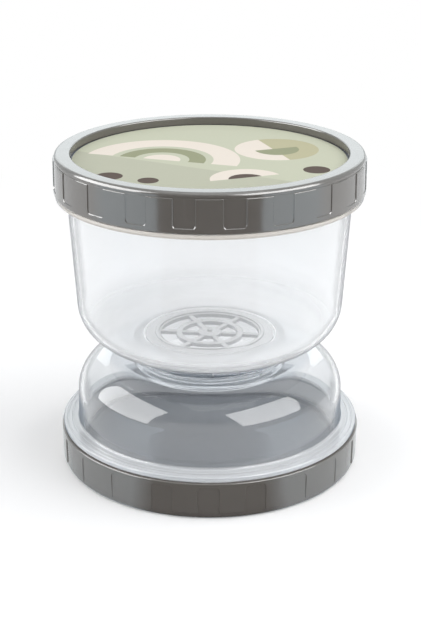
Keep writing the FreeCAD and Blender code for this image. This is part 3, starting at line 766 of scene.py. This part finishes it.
class KEEPER_OT_lid_rings(bpy.types.Operator):
    """Model the screw ring of each lid: rim, lip, skirt with grip pads, and the threads inside"""

    bl_idname = "keeper.lid_rings"
    bl_label = "Lid rings"

    def execute(self, context):
        lid, threads = context.scene.keeper_lid, context.scene.keeper_thread
        closed, band = lid.radius - lid.draft, lid.radius - lid.band_inset
        lip = lid.opening + lid.lip_wall
        ring = turned("upper_screw_ring", [
            (lid.opening, 0, 0.6 * MM, 5),
            (band, 0, 1.5 * MM, 9),
            (band, lid.band_height),
            (closed, lid.band_height, 0.3 * MM, 3),
            (lid.radius, lid.depth, 0.4 * MM, 3),
            (lid.bore, lid.depth, 0.35 * MM, 3),
            (lid.bore, lid.rim, 0.6 * MM, 3),
            (lip, lid.rim),
            (lip, lid.recess, 0.25 * MM, 2),
            (lid.opening, lid.recess, 0.35 * MM, 3),
        ], steps=16 * lid.pad_count)
        # A pad's sides slope, so the cutter is wider outside than at the pad's floor.
        slope = lid.pad_slope
        pad_end = lid.depth - lid.pad_margin - slope
        half = math.asin((lid.pad_width / 2 - slope) / lid.radius)
        cutter = draw("pad", [
            (closed - lid.pad_depth, lid.band_height / 2),
            (lid.radius - lid.pad_depth, pad_end),
            (lid.radius + lid.pad_depth, pad_end),
            (lid.radius + lid.pad_depth, lid.band_height / 2),
        ])
        stand(cutter, turn=-half)
        edit_all(cutter)
        bpy.ops.mesh.edge_face_add()
        bpy.ops.mesh.spin(steps=8, angle=-2 * half, center=(0, 0, 0), axis=(0, 0, 1))
        close_up(cutter)

        def pad_corner(points):
            level = all(near(point.z, pad_end) for point in points)
            return level and all(near(abs(math.atan2(point.y, point.x)), half, reach=1e-4) for point in points)

        pick(cutter, "EDGE", pad_corner)
        bpy.ops.mesh.bevel(offset=lid.pad_corner, offset_type="OFFSET", segments=6, affect="EDGES")
        pick(cutter, "VERT", lambda points: points[0].xy.length > lid.radius)
        bpy.ops.transform.resize(
            value=(1, 1 + 4 * slope / lid.pad_width, 1 + 2 * slope / pad_end),
            center_override=(0, 0, lid.band_height / 2))
        at_rest()
        repeat(cutter, lid.pad_count)
        combine(ring, cutter, "DIFFERENCE")
        # A lid's thread lies between the mouth's thread and the flange, with the same play on both sides.
        pitch = threads.lead / threads.starts
        start = LOWER_LOW.z + threads.lip_gap + pitch / 2 - threads.lead * threads.lid_shift / FULL_TURN
        inner = thread("lid_thread", lid.bore + ROOT, threads.lid_crest, threads.base, threads.tip,
                       start, threads.lid_span, threads.lead, threads.starts)
        stand(inner, turn=-threads.lid_shift)
        combine(ring, inner, "UNION")
        bevel = ring.modifiers.new("Edges", "BEVEL")
        bevel.width = 0.12 * MM
        bevel.segments = 2
        bevel.limit_method = "ANGLE"
        bevel.angle_limit = SHARP
        activate(ring)
        bpy.ops.object.modifier_apply(modifier=bevel.name)
        lower = copied(ring, "lower_screw_ring")
        stand(lower, turn=lid.lower_turn)
        stand(ring, lift=TOP, turn=lid.upper_turn, flip=True)
        finish = finish_of(context, moulded_lid_plastic)
        for piece, body, node in ((lower, "lower_lid", "lower_lid_ring"), (ring, "upper_lid", "upper_lid_ring")):
            smooth(piece)
            place_piece(piece, body, "lid_plastic", finish, node)
        return {"FINISHED"}


class KEEPER_OT_sealing_discs(bpy.types.Operator):
    """Model the sealing disc of each lid, a plate with a centring rib"""

    bl_idname = "keeper.sealing_discs"
    bl_label = "Sealing discs"

    def execute(self, context):
        seal = context.scene.keeper_seal
        inner_face = seal.disc_face + seal.disc
        rib_end = inner_face + seal.rib_depth
        rib_inner = seal.rib_radius - seal.rib_wall
        lower = turned("lower_sealing_disc", [
            (0, seal.disc_face),
            (seal.disc_radius, seal.disc_face, 0.4 * MM, 3),
            (seal.disc_radius, inner_face, 0.3 * MM, 3),
            (seal.rib_radius, inner_face),
            (seal.rib_radius, rib_end, 0.4 * MM, 3),
            (rib_inner, rib_end, 0.4 * MM, 3),
            (rib_inner, inner_face, 0.8 * MM, 4),
            (0, inner_face),
        ])
        smooth(lower)
        upper = copied(lower, "upper_sealing_disc")
        stand(upper, lift=TOP, flip=True)
        finish = finish_of(context, moulded_disc_plastic)
        place_piece(lower, "lower_seal", "disc_plastic", finish, "lower_lid_disc")
        place_piece(upper, "upper_seal", "disc_plastic", finish, "upper_lid_disc")
        return {"FINISHED"}


class KEEPER_OT_gaskets(bpy.types.Operator):
    """Model the silicone gaskets of both lids and of the neck"""

    bl_idname = "keeper.gaskets"
    bl_label = "Gaskets"

    def execute(self, context):
        seal = context.scene.keeper_seal
        finish = finish_of(context, moulded_silicone)
        inner_face, rounding = seal.disc_face + seal.disc, 0.3 * MM
        lower = flat_ring("lower_lid_seal", seal.gasket_inner, seal.gasket_outer, inner_face, seal.gasket,
                          rounding, steps=192)
        smooth(lower)
        upper = copied(lower, "upper_lid_seal")
        stand(upper, lift=TOP, flip=True)
        neck = flat_ring("neck_seal_ring", seal.neck_inner, seal.neck_outer, LOWER_HIGH.z, seal.neck,
                         rounding, steps=192)
        smooth(neck)
        place_piece(lower, "lower_seal", "silicone", finish, "lower_lid_gasket")
        place_piece(upper, "upper_seal", "silicone", finish, "upper_lid_gasket")
        place_piece(neck, "neck_seal", "silicone", finish, "neck_gasket")
        return {"FINISHED"}


class KEEPER_OT_printed_film(bpy.types.Operator):
    """Model the printed film that lies on the upper disc"""

    bl_idname = "keeper.printed_film"
    bl_label = "Printed film"

    def execute(self, context):
        seal = context.scene.keeper_seal
        film = turned("upper_printed_film", [
            (0, seal.disc_face - seal.film),
            (seal.film_radius, seal.disc_face - seal.film, 0.12 * MM, 2),
            (seal.film_radius, seal.disc_face),
            (0, seal.disc_face),
        ], steps=192)
        stand(film, lift=TOP, flip=True)
        smooth(film)
        place_piece(film, "upper_seal", "printed_film", finish_of(context, printed_film), "upper_lid_label")
        return {"FINISHED"}


class KEEPER_OT_upper_container(bpy.types.Operator):
    """Model the deep clear container with its flanged mouth, strainer seat, spigot and threads"""

    bl_idname = "keeper.upper_container"
    bl_label = "Upper container"

    def execute(self, context):
        size, threads = context.scene.keeper_mouth, context.scene.keeper_thread
        lip, spigot_end = UPPER_HIGH.z, UPPER_LOW.z
        flange_top = lip - size.finish
        flange_low = flange_top - size.flange
        under = flange_low - size.upper_depth
        floor = under + size.wall
        ledge = floor - size.seat_drop
        shoulder = under - size.shoulder_height
        cup = turned("upper_clear_container", [
            (size.spigot, spigot_end, 0.4 * MM, 3),
            (size.spigot, shoulder, 0.3 * MM, 2),
            (size.shoulder, shoulder, 0.4 * MM, 3),
            (size.shoulder, under, 0.8 * MM, 4),
            (size.upper_base, under, size.upper_corner, 20),
            (size.upper_side, flange_low, 0.8 * MM, 4),
            (size.flange_radius, flange_low, 0.6 * MM, 4),
            (size.flange_radius, flange_top, 0.6 * MM, 4),
            (size.outer, flange_top, 0.5 * MM, 3),
            (size.outer, lip, 0.6 * MM, 4),
            (size.inner, lip, 0.6 * MM, 4),
            (size.upper_side - size.wall, flange_low, 3.0 * MM, 3),
            (size.upper_base - size.wall, floor, size.upper_corner - size.wall, 20),
            (size.seat, floor, 0.5 * MM, 3),
            (size.seat, ledge, 0.25 * MM, 2),
            (size.ledge, ledge, 0.25 * MM, 2),
            (size.ledge, ledge - size.ledge_thickness, 0.25 * MM, 2),
            (size.spigot_bore, ledge - size.ledge_thickness, 0.25 * MM, 2),
            (size.spigot_bore, spigot_end, 0.4 * MM, 3),
        ])
        # A turn to the left, seen from above, lifts every thread of the keeper.
        start = -threads.lip_gap - threads.lead * threads.span / FULL_TURN
        mouth = thread("mouth_thread", size.outer - ROOT, threads.crest, threads.base, threads.tip,
                       start, threads.span, threads.lead, threads.starts)
        stand(mouth, lift=lip, turn=context.scene.keeper_lid.upper_turn - threads.span)
        combine(cup, mouth, "UNION")
        spigot = thread("spigot_thread", size.spigot - ROOT, threads.neck_crest, threads.neck_base,
                        threads.neck_tip, threads.neck_gap, threads.neck_span, threads.neck_lead, threads.neck_starts)
        stand(spigot, lift=spigot_end)
        combine(cup, spigot, "UNION")
        smooth(cup)
        place_piece(cup, "upper_cup", "clear_plastic", finish_of(context, moulded_clear_plastic), "upper_container")
        return {"FINISHED"}


class KEEPER_OT_lower_container(bpy.types.Operator):
    """Model the shallow clear container, mouth down, with the collar that takes the spigot"""

    bl_idname = "keeper.lower_container"
    bl_label = "Lower container"

    def execute(self, context):
        size, threads = context.scene.keeper_mouth, context.scene.keeper_thread
        lip, collar_top = LOWER_LOW.z, LOWER_HIGH.z
        flange_low = lip + size.finish
        flange_top = flange_low + size.flange
        roof = flange_top + size.lower_roof
        inside = roof - size.wall
        sleeve_end = roof - size.socket_depth
        # Two shallow grooves run round the flange. In millimetres: how far in each starts, and its outline, across
        # and down.
        groove_insets, groove_outline = (1.3, 3.3), ((0.0, 0.0), (0.2, 0.15), (0.6, 0.15), (0.8, 0.0))
        grooves = [
            (size.flange_radius - (inset + across) * MM, flange_top - sunk * MM)
            for inset in groove_insets for across, sunk in groove_outline]
        cup = turned("lower_clear_container", [
            (size.inner, lip, 0.6 * MM, 4),
            (size.outer, lip, 0.6 * MM, 4),
            (size.outer, flange_low, 0.5 * MM, 3),
            (size.flange_radius, flange_low, 0.6 * MM, 4),
            (size.flange_radius, flange_top, 0.6 * MM, 4),
            *grooves,
            (size.lower_side, flange_top, 1.0 * MM, 4),
            (size.lower_top, roof, size.lower_corner, 20),
            (size.collar, roof, 0.8 * MM, 4),
            (size.collar, collar_top, 0.5 * MM, 3),
            (size.socket, collar_top, 0.4 * MM, 3),
            (size.socket, sleeve_end, 0.3 * MM, 2),
            (size.sleeve, sleeve_end, 0.4 * MM, 3),
            (size.sleeve, inside, 0.6 * MM, 3),
            (size.lower_top - size.wall, inside, size.lower_corner - size.wall, 20),
            (size.lower_side - size.wall, flange_top, 1.0 * MM, 3),
            (size.inner, flange_low, 1.0 * MM, 3),
        ])
        mouth = thread("mouth_thread", size.outer - ROOT, threads.crest, threads.base, threads.tip,
                       threads.lip_gap, threads.span, threads.lead, threads.starts)
        stand(mouth, lift=lip, turn=context.scene.keeper_lid.lower_turn)
        combine(cup, mouth, "UNION")
        pitch = threads.neck_lead / threads.neck_starts
        start = UPPER_LOW.z + threads.neck_gap + pitch / 2 - threads.neck_lead * threads.socket_shift / FULL_TURN
        socket = thread("socket_thread", size.socket + ROOT, threads.socket_crest, threads.neck_base,
                        threads.neck_tip, start, threads.neck_span, threads.neck_lead, threads.neck_starts)
        stand(socket, turn=-threads.socket_shift)
        combine(cup, socket, "UNION")
        smooth(cup)
        place_piece(cup, "lower_cup", "clear_plastic", finish_of(context, moulded_clear_plastic), "lower_container")
        return {"FINISHED"}


class KEEPER_OT_strainer(bpy.types.Operator):
    """Model the slotted strainer wheel that lies in the floor of the upper container"""

    bl_idname = "keeper.strainer"
    bl_label = "Strainer"

    def execute(self, context):
        size = context.scene.keeper_strainer
        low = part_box("strainer")[0].z
        wheel = turned("strainer_wheel", [
            (size.slot_outer, 0, 0.3 * MM, 3),
            (size.radius, 0, 0.3 * MM, 3),
            (size.radius, size.plate, 0.35 * MM, 3),
            (size.bead_outer, size.plate, 0.2 * MM, 2),
            (size.bead_outer, size.plate + size.bead, 0.3 * MM, 3),
            (size.bead_inner, size.plate + size.bead, 0.3 * MM, 3),
            (size.bead_inner, size.plate, 0.2 * MM, 2),
            (size.slot_outer, size.plate, 0.35 * MM, 3),
        ], steps=192)
        middle = flat_ring("middle_ring", size.middle_inner, size.middle_outer, 0, size.plate, 0.35 * MM, steps=128)
        hub = turned("hub", [
            (0, 0),
            (size.hub, 0, 0.35 * MM, 3),
            (size.hub, size.plate, 0.35 * MM, 3),
            (size.pip, size.plate, 0.2 * MM, 2),
            (size.pip, size.plate + size.pip_height, 0.5 * MM, 4),
            (0, size.plate + size.pip_height),
        ], steps=64)
        at_rest()
        reach = size.bead_inner - size.hub / 2
        bpy.ops.mesh.primitive_cube_add(size=1, location=(size.hub / 2 + reach / 2, 0, size.spoke / 2),
                                        scale=(reach, size.spoke_width, size.spoke))
        spoke = bpy.context.object
        spoke.name = spoke.data.name = "spoke"
        bpy.ops.object.transform_apply(location=True, rotation=True, scale=True)
        pick(spoke, "EDGE", lambda points: near(points[0].y, points[1].y) and near(points[0].z, points[1].z))
        bpy.ops.mesh.bevel(offset=0.35 * MM, offset_type="OFFSET", segments=3, affect="EDGES")
        at_rest()
        repeat(spoke, size.spokes)
        combine(spoke, hub, "UNION")
        combine(wheel, spoke, "UNION")
        combine(wheel, middle, "UNION")
        stand(wheel, lift=low, turn=size.turn)
        smooth(wheel)
        place_piece(wheel, "strainer_wheel", "clear_plastic", finish_of(context, moulded_natural_plastic), "strainer")
        return {"FINISHED"}


# Stage.

def softbox(name, turn, rise, far, wide, tall, radiance, kinds, tint=(1, 1, 1)):
    """Adds an area lamp that faces the keeper's middle.

    Turn and rise are in degrees, and distance, width and height in metres. Turn 0 is the camera's side, and 90 is +X.
    """
    middle = Vector((0, 0, 0.06))
    side, up = math.radians(turn), math.radians(rise)
    way = Vector((math.sin(side) * math.cos(up), -math.cos(side) * math.cos(up), math.sin(up)))
    at_rest()
    bpy.ops.object.light_add(type="AREA", location=middle + way * far)
    lamp = bpy.context.object
    lamp.name = name
    lamp.rotation_euler = (-way).to_track_quat("-Z", "Y").to_euler()
    lamp.data.shape = "RECTANGLE"
    lamp.data.size, lamp.data.size_y = wide, tall
    lamp.data.energy = radiance * math.pi * wide * tall
    lamp.data.color = tint
    lamp.visible_camera = lamp.visible_transmission = False
    lamp.visible_diffuse = "diffuse" in kinds
    lamp.visible_glossy = "glossy" in kinds


def studio_room(look):
    """Makes the world: white behind the keeper and overhead, and darker low on the camera's side, in a mirror.

    Clear walls look through to white.
    """
    world = bpy.data.worlds.new("Studio")
    world.use_nodes = True
    tree = world.node_tree
    tree.nodes.clear()
    path = add(tree, "LightPath")
    way = add(tree, "SeparateXYZ", {"Vector": add(tree, "TexCoord").outputs["Generated"]})
    upward_weight = 0.9
    lean = add(tree, "Math", {
        0: way.outputs["Z"], 1: upward_weight, 2: way.outputs["Y"]}, operation="MULTIPLY_ADD")
    room = add(tree, "MapRange", {
        "Value": lean, "From Min": -0.55, "From Max": 0.15, "To Min": 0.15, "To Max": 1.0})
    plain = add(tree, "MapRange", {
        "Value": lean, "From Min": -0.9, "From Max": 0.5, "To Min": 0.5, "To Max": 0.65})
    mirrored = mirror_only(tree, path)
    light = add(tree, "Mix", {0: mirrored, 2: plain, 3: room})
    clear = add(tree, "Math", {
        0: path.outputs["Is Camera Ray"], 1: path.outputs["Is Transmission Ray"]}, operation="MAXIMUM")
    light = add(tree, "Mix", {0: clear, 2: light, 3: 1.0})
    cool = add(tree, "Mix", {0: mirrored, 6: (1, 1, 1, 1), 7: opaque(look.room)}, data_type="RGBA")
    sky = add(tree, "Background", {"Color": cool, "Strength": light})
    add(tree, "OutputWorld", {"Surface": sky})
    return world


class KEEPER_OT_stage(bpy.types.Operator):
    """Lay the pale floor and set up the lamps, the world and the camera"""

    bl_idname = "keeper.stage"
    bl_label = "Stage"

    def execute(self, context):
        scene = context.scene
        at_rest()
        # The floor lies a hair under the keeper and reaches further back than forward.
        floor_size, floor_middle, hair = 8, 1.7, 0.02 * MM
        bpy.ops.mesh.primitive_plane_add(size=floor_size, location=(0, floor_middle, -hair))
        floor = bpy.context.object
        floor.name = "studio_floor"
        bpy.ops.object.transform_apply(location=True, rotation=True, scale=True)
        floor.data.materials.append(finish_of(context, painted_floor))
        # A cloth lies on the floor in front of the keeper. It widens away from it, so that its mirror image on both
        # lids has upright edges. These are the corners of its right side, in metres across and along the floor.
        cloth_lift = 0.2 * MM
        side = [(0.027, -0.050), (0.066, -0.075), (0.204, -0.300), (1.710, -2.240)]
        cloth = draw("black_cloth", [(x, -y) for x, y in side] + [(-x, -y) for x, y in reversed(side)])
        edit_all(cloth)
        bpy.ops.mesh.edge_face_add()
        at_rest()
        activate(cloth)
        cloth.location = (0, 0, cloth_lift)
        cloth.rotation_euler = (math.pi / 2, 0, 0)
        bpy.ops.object.transform_apply(location=True, rotation=True, scale=False)
        cloth.data.materials.append(finish_of(context, black_cloth))
        cloth.visible_camera = cloth.visible_shadow = cloth.visible_diffuse = cloth.visible_transmission = False

        # The lamps light at a plain level, and their reflections are brighter than that, as a lit lamp's are.
        softbox("softbox_left", -85, 28, 1.2, 1.2, 1.0, 1.2, "diffuse")
        softbox("softbox_right", 78, 50, 1.2, 1.2, 0.9, 2.1, "diffuse")
        softbox("softbox_above", 20, 80, 1.3, 1.0, 1.0, 0.9, "diffuse glossy")
        softbox("gleam_left", -80, 25, 1.1, 1.27, 0.93, 8.0, "glossy")
        softbox("gleam_right", 54.5, 31, 1.1, 1.2, 0.83, 8.0, "glossy")
        softbox("strip_behind", 180, 21, 1.5, 1.6, 0.5, 1.3, "glossy", tint=scene.keeper_finish.strip)
        scene.world = studio_room(scene.keeper_finish)

        at_rest()
        eye, looks_down, focal_length, sensor = (0.0003, -0.5479, 0.2734), 21.226, 81.4, 36
        bpy.ops.object.camera_add(location=eye, rotation=(math.radians(90 - looks_down), 0, 0))
        camera = bpy.context.object
        camera.name = "camera"
        camera.data.lens = focal_length
        camera.data.sensor_width = sensor
        scene.camera = camera
        scene.view_settings.view_transform = "Standard"
        # Light crosses up to a dozen clear walls, two faces each.
        scene.cycles.max_bounces = scene.cycles.transmission_bounces = scene.cycles.transparent_max_bounces = 32
        scene.cycles.glossy_bounces = 12
        return {"FINISHED"}


OPERATORS = (
    KEEPER_OT_stage,
    KEEPER_OT_lid_rings,
    KEEPER_OT_sealing_discs,
    KEEPER_OT_gaskets,
    KEEPER_OT_printed_film,
    KEEPER_OT_upper_container,
    KEEPER_OT_lower_container,
    KEEPER_OT_strainer,
)
GROUPS = (
    ("keeper_lid", KeeperLid),
    ("keeper_seal", KeeperSeal),
    ("keeper_mouth", KeeperMouth),
    ("keeper_thread", KeeperThread),
    ("keeper_strainer", KeeperStrainer),
    ("keeper_finish", KeeperFinish),
)


class KEEPER_PT_panel(bpy.types.Panel):
    """Lists the operators, and the sizes and colours of every group"""

    bl_idname = "KEEPER_PT_panel"
    bl_label = "Flip keeper"
    bl_space_type = "VIEW_3D"
    bl_region_type = "UI"
    bl_category = "Keeper"

    def draw(self, context):
        for operator in OPERATORS:
            self.layout.operator(operator.bl_idname)
        for name, group in GROUPS:
            box = self.layout.box()
            box.label(text=name.replace("keeper_", "").title())
            for field in group.__annotations__:
                box.prop(getattr(context.scene, name), field)


def register():
    for name, group in GROUPS:
        bpy.utils.register_class(group)
        setattr(bpy.types.Scene, name, PointerProperty(type=group))
    for operator in OPERATORS:
        bpy.utils.register_class(operator)
    bpy.utils.register_class(KEEPER_PT_panel)


def unregister():
    bpy.utils.unregister_class(KEEPER_PT_panel)
    for operator in reversed(OPERATORS):
        bpy.utils.unregister_class(operator)
    for name, group in reversed(GROUPS):
        delattr(bpy.types.Scene, name)
        bpy.utils.unregister_class(group)


def main():
    register()
    for operator in OPERATORS:
        family, name = operator.bl_idname.split(".")
        getattr(getattr(bpy.ops, family), name)()


if __name__ == "__main__":
    main()
